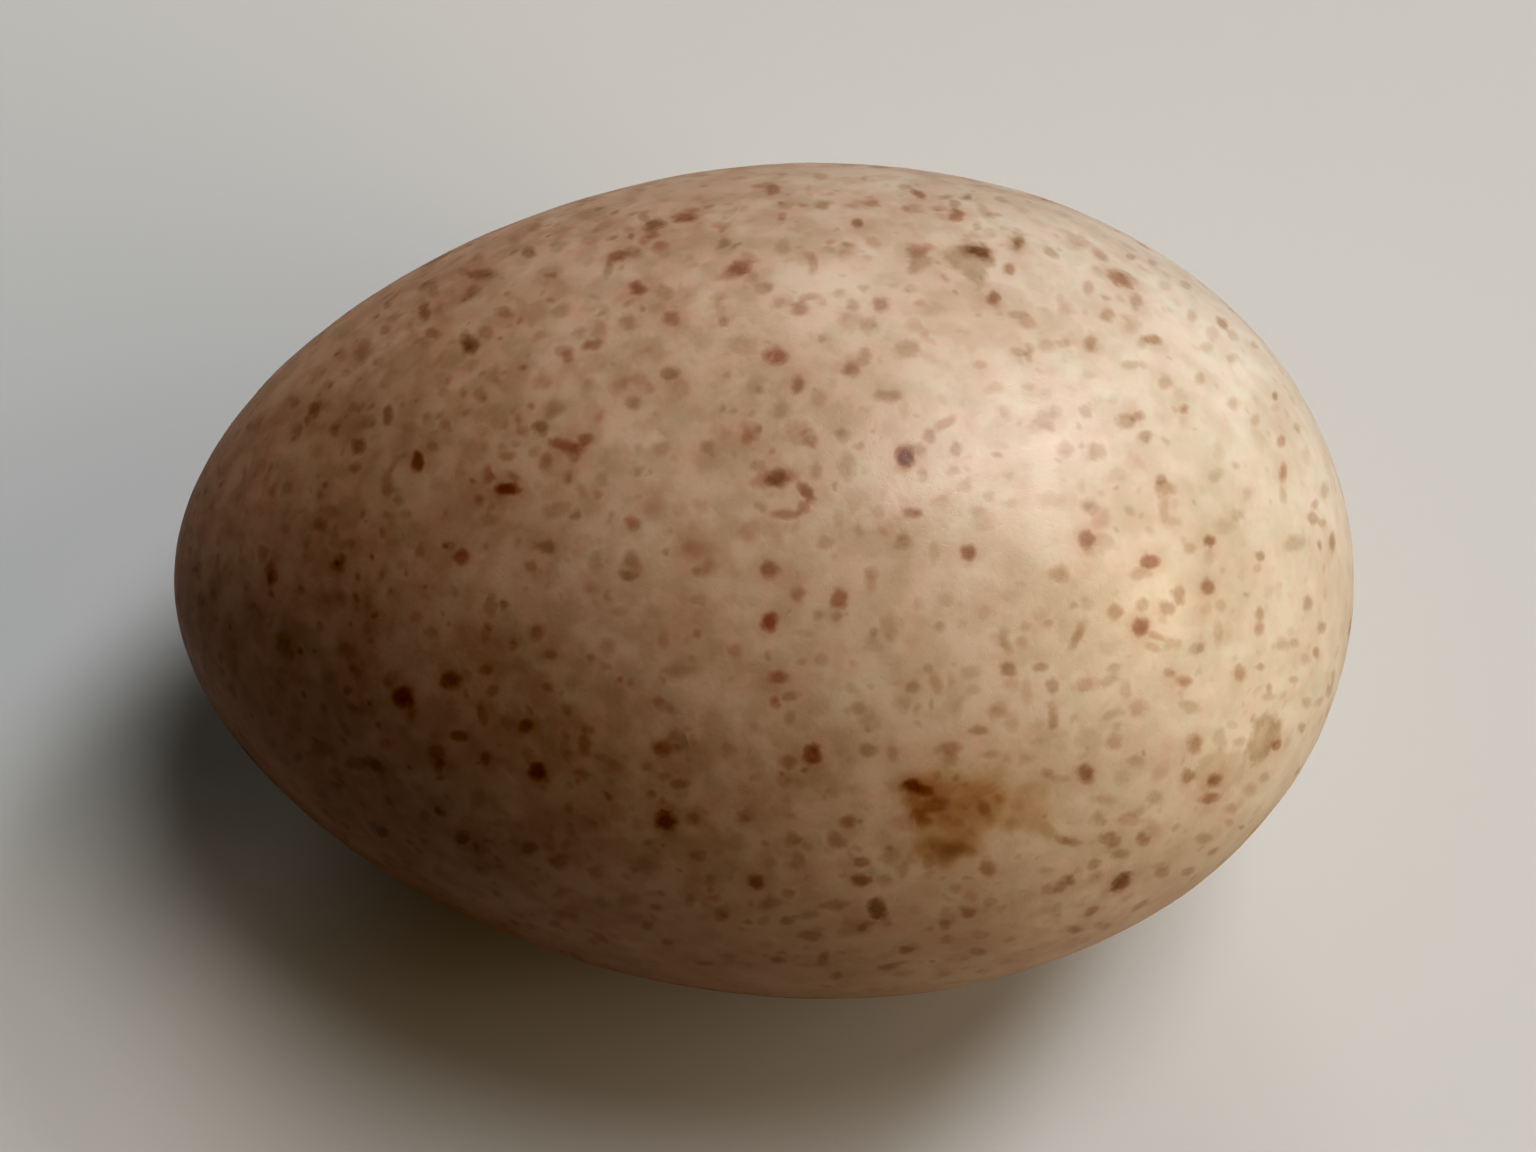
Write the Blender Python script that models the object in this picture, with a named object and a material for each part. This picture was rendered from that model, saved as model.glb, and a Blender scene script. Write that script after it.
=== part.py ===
"""Turkey egg, lying on its side.

One closed solid: a body of revolution about the egg's long axis, blunt at one
end and more pointed at the other, turned to the pose in which it balances and
cut very slightly flat where it rests.

Units are metres, +Z is up.  The long axis lies in the XZ plane with the blunt
end towards +X.  The origin is the middle of the small flat spot that the egg
rests on, straight below its centre of mass.
"""

import math

import bmesh
import bpy
from mathutils import Matrix, Vector

# --------------------------------------------------------------------------
# Driving dimensions
# --------------------------------------------------------------------------
LENGTH = 0.0670            # pole to pole, along the long axis
BREADTH_BASE = 0.0469      # breadth of the plain ellipse that is then skewed

# The outline is an ellipse whose half-breadth is multiplied by
#   1 + SKEW*u + WAIST*u^2 + CROWN*u^3,   u = -1 (pointed pole) .. +1 (blunt pole)
SKEW = 0.109               # moves the widest part towards the blunt end
WAIST = -0.024             # less than zero: slimmer towards both ends
CROWN = 0.020              # rounds the blunt end, sharpens the other

FLAT_DEPTH = 0.00015       # how deep the resting spot is cut

RINGS = 48                 # facets from pole to pole
SEGMENTS = 64              # facets around

SHELL_COLOUR = (0.52, 0.34, 0.22, 1.0)
SHELL_ROUGHNESS = 0.45

HALF_LENGTH = LENGTH / 2.0


# --------------------------------------------------------------------------
# The egg's outline
# --------------------------------------------------------------------------
def radius(x):
    """Half-breadth of the egg at x, measured along its axis from mid-length."""
    u = max(-1.0, min(1.0, x / HALF_LENGTH))
    swell = 1.0 + SKEW * u + WAIST * u * u + CROWN * u ** 3
    return 0.5 * BREADTH_BASE * math.sqrt(max(0.0, 1.0 - u * u)) * swell


def slope(x, step=1.0e-6):
    """How fast the half-breadth grows towards the blunt end."""
    return (radius(x + step) - radius(x - step)) / (2.0 * step)


def centroid_x(slices=4000):
    """Place of the solid's centroid along its axis, by thin slices."""
    area = 0.0
    moment = 0.0
    for i in range(slices):
        x = -HALF_LENGTH + LENGTH * (i + 0.5) / slices
        a = radius(x) ** 2
        area += a
        moment += a * x
    return moment / area


def balance_point(x_centroid):
    """Place along the axis where the surface's normal meets the centroid.

    An egg on a table turns until its centroid is straight above the point it
    touches, so that point satisfies x + r * dr/dx = x_centroid.  The flank is
    flatter lengthwise than a circle about the centroid, so the left side grows
    with x there, and the pose is a stable one.
    """
    low, high = -0.2 * HALF_LENGTH, 0.2 * HALF_LENGTH
    for _ in range(60):
        mid = 0.5 * (low + high)
        if mid + radius(mid) * slope(mid) < x_centroid:
            low = mid
        else:
            high = mid
    return 0.5 * (low + high)


# --------------------------------------------------------------------------
# The solid
# --------------------------------------------------------------------------
def clear_scene():
    for obj in list(bpy.data.objects):
        bpy.data.objects.remove(obj, do_unlink=True)


def shell_material():
    mat = bpy.data.materials.new("eggshell")
    mat.use_nodes = True
    bsdf = mat.node_tree.nodes["Principled BSDF"]
    bsdf.inputs["Base Color"].default_value = SHELL_COLOUR
    bsdf.inputs["Roughness"].default_value = SHELL_ROUGHNESS
    bsdf.inputs["Metallic"].default_value = 0.0
    mat.diffuse_color = SHELL_COLOUR
    return mat


def build_egg():
    xg = centroid_x()
    xc = balance_point(xg)
    tilt = math.atan(slope(xc))              # blunt end up by this angle
    height = radius(xc) * math.cos(tilt) + (xg - xc) * math.sin(tilt)

    bm = bmesh.new()
    # a unit sphere with its poles on the long axis, reshaped ring by ring
    bmesh.ops.create_uvsphere(bm, u_segments=SEGMENTS, v_segments=RINGS, radius=1.0)
    for v in bm.verts:
        u = max(-1.0, min(1.0, v.co.z))
        around = math.hypot(v.co.x, v.co.y)
        r = radius(u * HALF_LENGTH) if around > 1.0e-6 else 0.0
        cy, cz = (v.co.x / around, v.co.y / around) if around > 1.0e-6 else (0.0, 0.0)
        v.co = Vector((u * HALF_LENGTH, r * cy, r * cz))

    # put the centroid on the Z axis, lift the blunt end, stand on the table
    bmesh.ops.translate(bm, verts=bm.verts, vec=Vector((-xg, 0.0, 0.0)))
    bmesh.ops.rotate(bm, verts=bm.verts, cent=Vector((0.0, 0.0, 0.0)),
                     matrix=Matrix.Rotation(-tilt, 3, "Y"))
    bmesh.ops.translate(bm, verts=bm.verts, vec=Vector((0.0, 0.0, height - FLAT_DEPTH)))

    # the resting spot: a level cut through the very bottom, closed by one face
    cut = bmesh.ops.bisect_plane(
        bm, geom=bm.verts[:] + bm.edges[:] + bm.faces[:], dist=1.0e-7,
        plane_co=Vector((0.0, 0.0, 0.0)), plane_no=Vector((0.0, 0.0, -1.0)),
        clear_outer=True)
    rim = [e for e in cut["geom_cut"] if isinstance(e, bmesh.types.BMEdge)]
    for v in {v for e in rim for v in e.verts}:
        v.co.z = 0.0
    bmesh.ops.contextual_create(bm, geom=rim)
    bmesh.ops.dissolve_degenerate(bm, dist=2.0e-5, edges=bm.edges)
    bmesh.ops.recalc_face_normals(bm, faces=bm.faces)

    mesh = bpy.data.meshes.new("egg")
    bm.to_mesh(mesh)
    bm.free()
    mesh.shade_smooth()
    mesh.set_sharp_from_angle(angle=math.radians(30.0))
    egg = bpy.data.objects.new("egg", mesh)
    egg.data.materials.append(shell_material())
    bpy.context.scene.collection.objects.link(egg)
    return egg


clear_scene()
build_egg()
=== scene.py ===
"""Looks of the turkey egg: its fine surface, its speckled shell, the camera and the light.

The egg's shape and place repeat the dimensions of the solid it stands for, in
metres, +Z up, +X towards the blunt end, with the origin at the resting spot.
"""

import math

import bpy
import numpy as np
from mathutils import Matrix, Vector


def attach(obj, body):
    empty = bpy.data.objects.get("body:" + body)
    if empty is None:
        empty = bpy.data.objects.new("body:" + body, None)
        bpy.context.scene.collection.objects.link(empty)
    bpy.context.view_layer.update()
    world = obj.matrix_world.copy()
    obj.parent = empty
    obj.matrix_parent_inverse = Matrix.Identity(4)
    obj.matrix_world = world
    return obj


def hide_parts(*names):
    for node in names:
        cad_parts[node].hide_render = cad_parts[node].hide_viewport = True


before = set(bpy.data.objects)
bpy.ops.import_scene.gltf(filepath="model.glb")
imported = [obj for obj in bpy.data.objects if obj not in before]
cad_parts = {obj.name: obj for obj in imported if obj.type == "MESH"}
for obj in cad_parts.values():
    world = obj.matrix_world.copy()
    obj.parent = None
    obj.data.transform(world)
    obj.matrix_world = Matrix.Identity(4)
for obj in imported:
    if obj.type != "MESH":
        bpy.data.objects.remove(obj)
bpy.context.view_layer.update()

# --------------------------------------------------------------------------
# The egg's form: the same outline and pose as the solid
# --------------------------------------------------------------------------
HALF_LENGTH = 0.0335
HALF_BREADTH = 0.0469 / 2.0
SKEW, WAIST, CROWN = 0.109, -0.024, 0.020
FLAT_DEPTH = 0.00015


def swell(u):
    return HALF_BREADTH * (1.0 + SKEW * u + WAIST * u * u + CROWN * u ** 3)


def radius(u):
    return swell(u) * np.sqrt(np.clip(1.0 - u * u, 0.0, 1.0))


def pose():
    """Tilt of the axis and place of its middle, for an egg balanced on its side."""
    u = (np.arange(4000) + 0.5) / 2000.0 - 1.0
    weight = radius(u) ** 2
    centroid = float((weight * u).sum() / weight.sum()) * HALF_LENGTH

    def slope(x):
        return float(radius((x + 1e-6) / HALF_LENGTH) - radius((x - 1e-6) / HALF_LENGTH)) / 2e-6

    low, high = -0.2 * HALF_LENGTH, 0.2 * HALF_LENGTH
    for _ in range(60):
        mid = 0.5 * (low + high)
        if mid + float(radius(mid / HALF_LENGTH)) * slope(mid) < centroid:
            low = mid
        else:
            high = mid
    tilt = math.atan(slope(low))
    height = float(radius(low / HALF_LENGTH)) * math.cos(tilt) + (centroid - low) * math.sin(tilt)
    axis = np.array([math.cos(tilt), 0.0, math.sin(tilt)])
    middle = np.array([0.0, 0.0, height - FLAT_DEPTH]) - centroid * axis
    return tilt, axis, middle


TILT, AXIS, MIDDLE = pose()
SIDE = np.array([0.0, 1.0, 0.0])
OVER = np.cross(AXIS, SIDE)


def on_egg(s):
    """Point of the egg for each unit vector s, whose x runs along the axis."""
    return (MIDDLE + HALF_LENGTH * s[:, :1] * AXIS
            + swell(s[:, :1]) * (s[:, 1:2] * SIDE + s[:, 2:3] * OVER))


def egg_normal(p):
    """Outward unit normal at points of the egg."""
    v = p - MIDDLE
    x = v @ AXIS
    u = np.clip(x / HALF_LENGTH, -0.99999, 0.99999)
    out = v - x[:, None] * AXIS
    r = np.linalg.norm(out, axis=1)
    h = 1e-5
    # the gradient of rho^2 - r(u)^2, which stays finite at the poles
    grow = (radius(u + h) ** 2 - radius(u - h) ** 2) / (2 * h * HALF_LENGTH)
    n = 2.0 * out - grow[:, None] * AXIS
    return n / np.linalg.norm(n, axis=1, keepdims=True)


# --------------------------------------------------------------------------
# Camera: from above, a little in front, square to the egg's long axis
# --------------------------------------------------------------------------
WIDE, HIGH = 1536, 1152
ELEVATION = math.radians(75.0)
DISTANCE = 0.230
FOCAL_PX = 4046.4
MIDDLE_PX = (758.8, 580.5)          # where the egg's mid-length shows
ROLL_PX = math.radians(0.356)       # the long axis falls this much to the right


def camera_frame():
    se, ce = math.sin(ELEVATION), math.cos(ELEVATION)
    turn = math.asin(-(math.tan(TILT) * ce + math.tan(ROLL_PX)) / se)
    back = np.array([-ce * math.sin(turn), -ce * math.cos(turn), se])
    right = np.array([math.cos(turn), -math.sin(turn), 0.0])
    up = np.cross(back, right)
    place = (MIDDLE + back * DISTANCE
             + right * (WIDE / 2 - MIDDLE_PX[0]) * DISTANCE / FOCAL_PX
             - up * (HIGH / 2 - MIDDLE_PX[1]) * DISTANCE / FOCAL_PX)
    return place, right, up, back


EYE, RIGHT, UP, BACK = camera_frame()


def make_camera():
    data = bpy.data.cameras.new("camera")
    data.sensor_fit = "HORIZONTAL"
    data.sensor_width = 36.0
    data.lens = 36.0 * FOCAL_PX / WIDE
    data.clip_start, data.clip_end = 0.01, 20.0
    cam = bpy.data.objects.new("camera", data)
    cam.matrix_world = Matrix((
        (RIGHT[0], UP[0], BACK[0], EYE[0]),
        (RIGHT[1], UP[1], BACK[1], EYE[1]),
        (RIGHT[2], UP[2], BACK[2], EYE[2]),
        (0.0, 0.0, 0.0, 1.0)))
    bpy.context.scene.collection.objects.link(cam)
    bpy.context.scene.camera = cam


def to_pixels(p):
    v = p - EYE
    depth = -(v @ BACK)
    return np.stack([WIDE / 2 + FOCAL_PX * (v @ RIGHT) / depth,
                     HIGH / 2 - FOCAL_PX * (v @ UP) / depth], 1)


def from_pixels(px):
    """First point of the egg behind each pixel. A pixel just off it is moved in."""
    px = np.array(px, float)
    found = np.full((len(px), 3), np.nan)
    centre = np.array(MIDDLE_PX)
    depth = np.linspace(DISTANCE - 0.030, DISTANCE + 0.020, 501)
    for _ in range(12):
        todo = np.isnan(found[:, 0])
        if not todo.any():
            break
        q = px[todo]
        ray = (((q[:, :1] - WIDE / 2) / FOCAL_PX) * RIGHT
               - ((q[:, 1:] - HIGH / 2) / FOCAL_PX) * UP - BACK)
        p = EYE + ray[:, None, :] * depth[None, :, None]
        v = p - MIDDLE
        x = v @ AXIS
        gap = np.linalg.norm(v - x[..., None] * AXIS, axis=2) - radius(x / HALF_LENGTH)
        gap = np.where(np.abs(x) > HALF_LENGTH, 1.0, gap)
        hit = (gap < 0).any(1)
        k = np.clip((gap < 0).argmax(1), 1, None)
        rows = np.arange(len(q))
        a, b = gap[rows, k - 1], gap[rows, k]
        a = np.where(a > 0.5, 1e-6, a)
        t = depth[k - 1] + (depth[k] - depth[k - 1]) * a / (a - b + 1e-15)
        at = EYE + ray * t[:, None]
        index = np.nonzero(todo)[0]
        found[index[hit]] = at[hit]
        miss = index[~hit]
        px[miss] += 0.004 * (centre - px[miss])
    return found, px


# --------------------------------------------------------------------------
# Markings seen in the photograph, read in its 1536 x 1152 pixels:
# x, y, two half-widths, the turn of the first one clockwise, and the kind.
# --------------------------------------------------------------------------
KINDS = {           # pigment, how red it is, how far that varies, halo
    "K": (1.30, 0.58, 0.12, 1.0),   # nearly black
    "S": (1.80, 0.97, 0.03, 1.0),   # the deepest red
    "Q": (0.95, 0.95, 0.05, 1.0),   # deep red
    "D": (0.85, 0.56, 0.16, 0.8),   # dark brown
    "N": (1.17, 0.20, 0.10, 0.5),   # dark olive brown
    "R": (0.74, 0.88, 0.10, 0.5),   # red brown
    "B": (0.58, 0.50, 0.25, 0.3),   # brown
    "O": (0.87, 0.25, 0.10, 0.2),   # olive brown
    "T": (0.45, 0.40, 0.30, 0.0),   # tan
    "r": (0.39, 0.95, 0.10, 0.0),   # pale red
    "t": (0.30, 0.38, 0.35, 0.0),   # pale tan
    "o": (0.50, 0.10, 0.10, 0.0),   # pale olive
    "p": (0.25, 0.95, 0.10, 0.0),   # faint pink
    "f": (0.195, 0.38, 0.35, 0.0),   # faint
}

MARKS = """
424 310 5 8 15 D; 433 333 7 5 10 B; 385 330 5 4 -20 B; 433 290 5 8 0 T; 362 350 8 10 20 B; 387 305 4 4 0 T
410 328 5 5 0 t; 425 343 6 5 0 t; 465 340 5 9 0 B; 463 272 6 6 0 T; 340 355 6 6 0 t; 450 293 6 5 0 f
440 312 5 5 0 f; 345 372 5 4 0 t; 380 362 6 5 0 f
535 227 7 4 -20 T; 514 240 7 5 10 t; 528 252 7 5 0 O; 480 273 12 5.5 -5 R; 478 257 5 6 30 T; 553 275 4 2.5 -15 T
473 292 7 6 0 o; 505 312 7 5.5 10 T; 485 333 7 6 -20 T; 472 344 7 8 0 O; 522 302 6 4 20 f; 617 256 9 4.5 -10 D
608 268 4 8 15 T; 632 251 8 6 0 t; 560 232 10 6 0 t; 556 246 6 8 0 t; 590 240 8 5 0 f; 628 229 5 4 0 t
631 236 3.5 3 0 B; 655 225 9 4.5 -8 D; 652 233 6 5 30 B; 645 240 7 5 -40 r; 644 218 6 3.5 20 T; 684 218 11 4 0 D
640 190 6 2.5 5 t; 632 201 6 3 0 f; 637 288 7 6.5 0 D; 664 252 6 6 0 f; 690 258 4 3 0 f; 665 293 8 6 20 t
740 267 10 6 -10 D; 733 272 11 6 -15 r; 749 257 8 5 20 t; 762 288 7 6 30 t; 753 278 5 6 -30 t; 718 296 7 5 0 t
720 308 5 10 0 f; 723 322 5 4.5 0 B; 672 319 8 6 15 B; 660 309 8 6 0 f; 592 345 9 5 -8 B; 600 330 8 9 0 t
606 312 5 8 -20 f; 628 322 7 7 0 t; 563 350 10 5 5 T; 568 357 5 5 0 B; 594 297 5 2.5 10 f; 742 345 16 9 -5 t
705 341 10 8 -30 f; 767 355 5 6 0 r; 700 176 8 2 -5 r; 585 215 8 6 0 f; 605 222 6 8 20 f; 545 282 6 4 0 f
773 190 7 6 0 D; 820 176 7 5 0 t; 864 178 4 2.5 -20 T; 808 190 4 3 0 f; 822 206 7 4 5 T; 801 205 3 2 0 f
870 203 7 4.5 0 B; 782 218 4 6 20 t; 857 224 5 4.5 -10 D; 918 194 7 3.5 25 D; 905 187 7 3 10 t; 957 215 7 5 0 D
955 204 5 6 0 T; 968 197 4 3 0 B; 947 197 8 2.5 -5 T; 984 211 4 10 -35 t; 977 226 4 4 0 t; 989 233 6 5 0 f
783 248 7 8 0 t; 813 265 4.5 8 0 T; 810 255 5 4 0 t; 845 250 12 7 -10 p; 873 243 6 5 0 t; 917 250 9 5.5 10 B
979 252 9 6 10 N; 968 250 7 5 0 B; 1017 242 8 10 0 T; 1018 243 5 5 0 B; 1051 252 8 4 35 o; 1009 269 6 5 0 B
993 298 6.5 6 0 D; 882 304 8 6.5 0 B; 893 286 5 3 0 f; 910 288 6 5 0 f; 925 310 18 7 0 f; 800 308 9 6 0 R
808 297 10 4 -10 r; 784 302 12 6 0 p; 850 319 9 11 20 t; 853 305 6 5 0 t; 870 326 8 7 0 t; 838 293 6 4 -10 t
778 356 9 8 0 R; 826 341 8 8 0 f; 865 355 7 8 0 T; 908 350 12 8 -5 T; 924 333 4.5 6 0 t; 1018 314 8 3.5 0 t
1027 322 7 6 20 t; 1047 345 10 6 10 t; 1063 344 6 4 0 t; 1029 355 4 6 0 T; 1019 352 8 4 10 t; 979 364 6 4 0 p
1060 298 4 4 0 f; 851 370 7 7 0 D; 1045 198 3 3 0 D
1121 278 13 6 25 D; 1131 256 4 5 30 T; 1153 262 5 5 0 t; 1100 253 9 4 40 t; 1078 240 10 6 20 t; 1136 302 6 7 0 T
1088 288 5 6 0 t; 1108 315 7 6 0 T; 1164 285 7 6 0 f; 1186 285 7 5 0 t; 1091 343 6 9 0 B; 1154 340 7 4.5 10 B
1142 343 5 5 0 t; 1192 315 5 6 0 t; 1223 323 7 3.5 45 B; 1233 334 7 3.5 50 t; 1213 333 6 8 0 p; 1233 309 4 3 0 t
1207 347 6 5 0 t; 1233 358 6 5 0 t; 1130 365 8 4 0 t; 1133 325 6 8 0 f; 1255 345 4 5 0 t
315 408 5 7.5 25 N; 327 405 6 5 0 f; 353 407 5 5 0 t; 389 416 4.5 8.5 15 O; 446 425 5 5 0 T; 411 428 7 5 10 f
444 393 6 4 0 f; 334 430 5 6 0 T; 362 426 8 7 0 f; 358 446 6.5 7 0 O; 256 427 6 4 -10 t; 418 462 5.5 8.5 10 K
433 446 5 5 0 t; 388 484 5.5 11 0 r; 398 501 6 4.5 20 T; 388 515 5 4 0 t; 405 514 4 6 20 t; 318 524 7 6.5 0 B
320 495 5 5 0 f; 283 528 5 5 0 t; 348 543 6 5 0 t; 337 566 8 5 30 T; 271 574 5 10 0 D; 391 549 8 10 0 f
462 557 7 7 0 R; 450 546 7 4 0 t; 190 550 4 4 0 T; 195 570 3 3 0 B; 204 512 5 4 0 f; 243 560 5 5 0 f
403 565 6 5 0 f; 293 399 5 4 -10 t; 328 385 5 5 0 f
507 489 10 5.5 0 K; 632 403 6.5 6 0 B; 541 428 7 7 0 O; 566 446 16 6 10 R; 546 462 6 9 0 T; 574 455 6 5 30 T
585 440 8 5 -15 T; 507 456 8 5 0 T; 480 395 6.5 6 0 T; 496 381 4 3.5 0 t; 485 447 5 5 0 t; 482 430 6 5 0 f
531 406 4 3.5 0 T; 522 430 6 5 30 t; 660 448 9 6.5 0 t; 707 446 7 6 0 t; 747 438 5.5 8 0 T; 754 386 7 8 0 f
762 481 11 7 0 r; 640 380 8 8 0 p; 670 373 8 6 0 B; 650 389 5 5 0 t; 581 489 4.5 8 -35 t; 555 510 13 7 -20 t
490 520 8 6 0 t; 632 523 7 6.5 0 R; 546 547 8 6 0 B; 630 560 7 8 0 B; 628 575 8 5 10 B; 700 550 14 8 0 p
595 562 8 8 0 t; 530 566 5 5 0 t; 700 573 7 4 0 f; 545 382 10 8 0 f
777 478 9 9 0 K; 790 475 8 6 20 r; 806 491 5 11 -35 D; 803 508 6 6 0 B; 786 514 13 4.5 0 B; 797 430 11 12 0 T
810 439 7 7 0 B; 817 470 6 7 0 t; 798 385 6 8 0 B; 820 397 8 7 0 f; 887 397 12 6 0 T; 905 411 6 8 0 f
848 465 8 12 0 t; 843 435 7 6.5 0 t; 905 457 8 10 5 S; 929 436 6 6.5 -30 B; 944 424 12 4.5 -35 r; 921 450 6 6 0 t
956 450 5.5 7 0 B; 922 477 5 5 0 t; 965 485 7 7 0 t; 989 497 6 5 0 p; 1012 503 5 4 0 f; 1050 499 12 7 -10 f
912 514 9 5 0 B; 877 512 7 6 0 f; 838 518 5 9 0 t; 825 543 8 6 0 t; 903 543 8 6.5 0 T; 935 552 5 12 0 f
968 552 7 7 0 D; 983 518 10 11 -30 f; 872 573 7 6 0 t; 1056 411 6 6 0 t; 1060 574 9 8 0 T; 1035 425 11 8 0 f
1065 450 7 8 0 p; 995 388 8 6 0 p; 770 569 8 8 0 D
1087 410 6.5 7 0 T; 1126 421 9 7 -10 T; 1138 416 6 5.5 0 B; 1144 437 7 6 0 T; 1097 451 8.5 7.5 0 T; 1184 409 4.5 4.5 0 B
1165 383 7 6 0 t; 1199 378 5 6 0 t; 1233 403 6 6 0 t; 1255 420 4.5 6 20 t; 1276 395 2.5 4 0 B; 1297 427 5 4.5 0 t
1282 441 4 6 0 T; 1235 466 4 4 0 t; 1283 473 3.5 8 0 B; 1283 495 3.5 7 -10 t; 1214 477 5.5 5.5 0 t; 1247 493 4 6 0 f
1118 475 9 9 0 f; 1161 480 5 5 0 B; 1165 489 10 7 0 T; 1163 508 5 12 0 t; 1172 522 8 6 0 t; 1090 506 8 7 0 T
1086 539 6.5 8 0 D; 1103 542 12 8 20 t; 1150 562 8 6 0 Q; 1140 573 10 6 -10 T; 1209 541 5.5 5 0 D; 1209 557 6 7 0 f
1190 548 6 5 0 t; 1238 515 6 5 0 t; 1225 525 10 8 0 f; 1260 556 4.5 4.5 0 B; 1258 568 4 4 0 f; 1295 543 11 7 -20 t
1312 518 6 6 0 T; 1322 523 4 4 0 t; 1315 505 3 5 10 T; 1332 543 2.5 9 0 B; 1320 545 2 5 0 t; 1325 490 4 8 10 t
1275 408 4 4 0 f; 1310 410 4 7 -35 p
300 592 7 5 0 f; 330 598 9 5 0 f; 248 605 6 5 0 f; 283 637 9 5 0 t; 278 647 3.5 4 0 t; 233 645 5 5 0 t
235 665 3 14 0 f; 232 685 5 5 0 t; 347 650 8 7 0 t; 330 676 8 6 0 t; 358 674 4 5 0 t; 348 690 4 5 0 T
391 678 8 7 0 r; 404 697 9.5 9 0 K; 412 712 4 7 0 t; 431 632 6 5 0 t; 451 681 9 8 0 D; 466 675 5 6 0 t
368 708 10 8 0 t; 345 728 3.5 10 -30 T; 298 758 4 5 0 T; 385 744 7 5 -20 t; 355 763 9 6 10 B; 375 765 11 5 35 D
437 752 9 7 20 B; 440 763 4.5 4 0 D; 440 778 4 2.5 0 T; 459 735 8 5 0 O; 320 748 9 7 0 t; 340 783 6 5 0 t
273 742 4 7 0 f; 283 672 5 4 0 f
590 588 7 6 0 t; 504 604 6 4 0 T; 538 633 6 9 20 r; 550 654 7 4.5 0 T; 485 635 5 8 10 p; 485 670 6 5 0 T
521 664 10 7 0 t; 607 648 7 9 0 t; 663 640 5 8 0 p; 736 650 7 7.5 0 r; 620 612 7 5 0 f; 493 691 6.5 5.5 0 o
665 706 12 6 35 t; 680 671 16 5 0 f; 635 685 7 5 0 f; 527 726 7 6 0 D; 508 721 8 7 0 t; 585 746 7 9 0 B
584 732 3 6 10 t; 602 758 12 4 20 t; 663 749 7 7 0 R; 486 759 4 7 0 T; 537 772 8 7.5 0 K; 680 784 9 4.5 0 B
665 777 8 4 0 t; 615 768 10 6 0 p; 645 767 6 5 0 t; 565 750 5 11 0 f; 579 772 6 2.5 0 f
770 622 7.5 9 0 Q; 839 599 8 9 0 R; 870 584 6 9 0 p; 888 628 8 14 5 t; 873 644 9 8 0 f; 820 660 7 6 0 t
778 677 9 6 0 R; 791 697 8 4.5 -10 T; 775 704 5 6 0 r; 790 718 5 7 0 t; 805 633 10 4 0 f; 850 688 5 5 0 f
858 708 7 6 0 t; 870 722 9 9 -30 t; 868 750 8.5 6 0 T; 893 755 5 6 0 t; 812 755 8 9 0 K; 787 763 8 6 0 T
783 780 7 8 0 t; 912 687 7 5.5 0 T; 936 683 5 11 -20 t; 929 668 5 5 0 t; 970 672 8 6 0 f; 973 690 7 5 0 f
1003 632 6 6 0 t; 1007 646 4.5 8 -25 t; 1009 669 8 7 0 B; 1012 685 7 8 0 p; 1040 668 6.5 4.5 0 T; 1053 686 5.5 7 0 T
1027 693 5 13 0 f; 1053 717 5 12 0 T; 1011 722 7 9 0 p; 956 712 6 8 0 f; 978 731 9 4.5 0 T; 950 749 11 6 -5 r
950 760 7 7 0 t; 990 755 10 4 0 t; 1048 774 6 5 0 T; 1060 779 7 4 0 t; 945 600 8 6 0 f; 940 628 6 5 0 f
985 612 8 7 0 f; 1040 615 8 7 0 f; 1076 640 4.5 15 25 T
1208 587 6 7 0 D; 1142 605 6 6 0 T; 1140 627 7 9 0 Q; 1154 635 8 4 25 r; 1153 647 8 4 20 p; 1170 643 6 6 0 t
1167 608 8 7 -20 B; 1178 595 7 8 0 B; 1115 612 6.5 7 0 T; 1087 605 7 7 0 f; 1220 605 5 6 0 t; 1206 609 5 7 20 f
1218 633 4.5 13 0 t; 1260 614 4 6 0 T; 1260 629 4.5 6 0 T; 1309 603 4.5 7 0 T; 1322 627 4.5 6 0 T; 1317 653 3 5.5 0 T
1307 659 4.5 5.5 0 p; 1296 643 4 5 0 t; 1283 645 6 6 0 t; 1197 648 9 5.5 -30 t; 1241 674 6 8 -25 B; 1262 667 4 3.5 0 T
1184 682 6.5 5.5 0 B; 1168 673 5 4 20 t; 1110 648 11 7 0 f; 1084 686 9 7 0 r; 1107 681 10 5 -30 t; 1115 668 8 4 -15 t
1125 690 6 8 0 t; 1138 708 8 8 0 p; 1113 715 12 4 -15 t; 1190 707 9 6 20 t; 1270 688 3 6 0 T; 1270 697 7 4 0 t
1296 680 5 3.5 0 t; 1307 703 5 5.5 0 t; 1320 702 7 3.5 -35 t; 1330 691 3.5 7 15 T; 1334 676 2 7 10 T; 1113 742 7.5 7 0 T
1195 743 7 9 0 B; 1220 739 6 11 -5 t; 1240 742 6 4.5 0 t; 1233 725 5 4 0 f; 1277 746 5 5.5 0 D; 1302 728 4 5 0 T
1087 774 7.5 8 0 D; 1136 762 8 6 0 t; 1187 776 7 6 0 B; 1215 781 6.5 6 0 D; 1265 778 6 5 0 t; 1297 771 3.5 5 0 T
1090 740 11 12 0 f
290 805 4.5 4 0 T; 373 827 6 4 40 B; 382 832 5 5 0 N; 438 810 3.5 4.5 0 O; 425 815 5 5 0 p; 463 838 7 6 0 O
407 864 6 5 0 f; 438 870 4 6 0 t; 465 820 6 6 0 t; 350 851 4 2.5 30 t
477 800 8 8 0 t; 480 849 9 7 0 T; 500 823 7 3.5 0 f; 529 849 7 6 0 B; 568 808 5 5 0 T; 558 862 9 6 10 B
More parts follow.
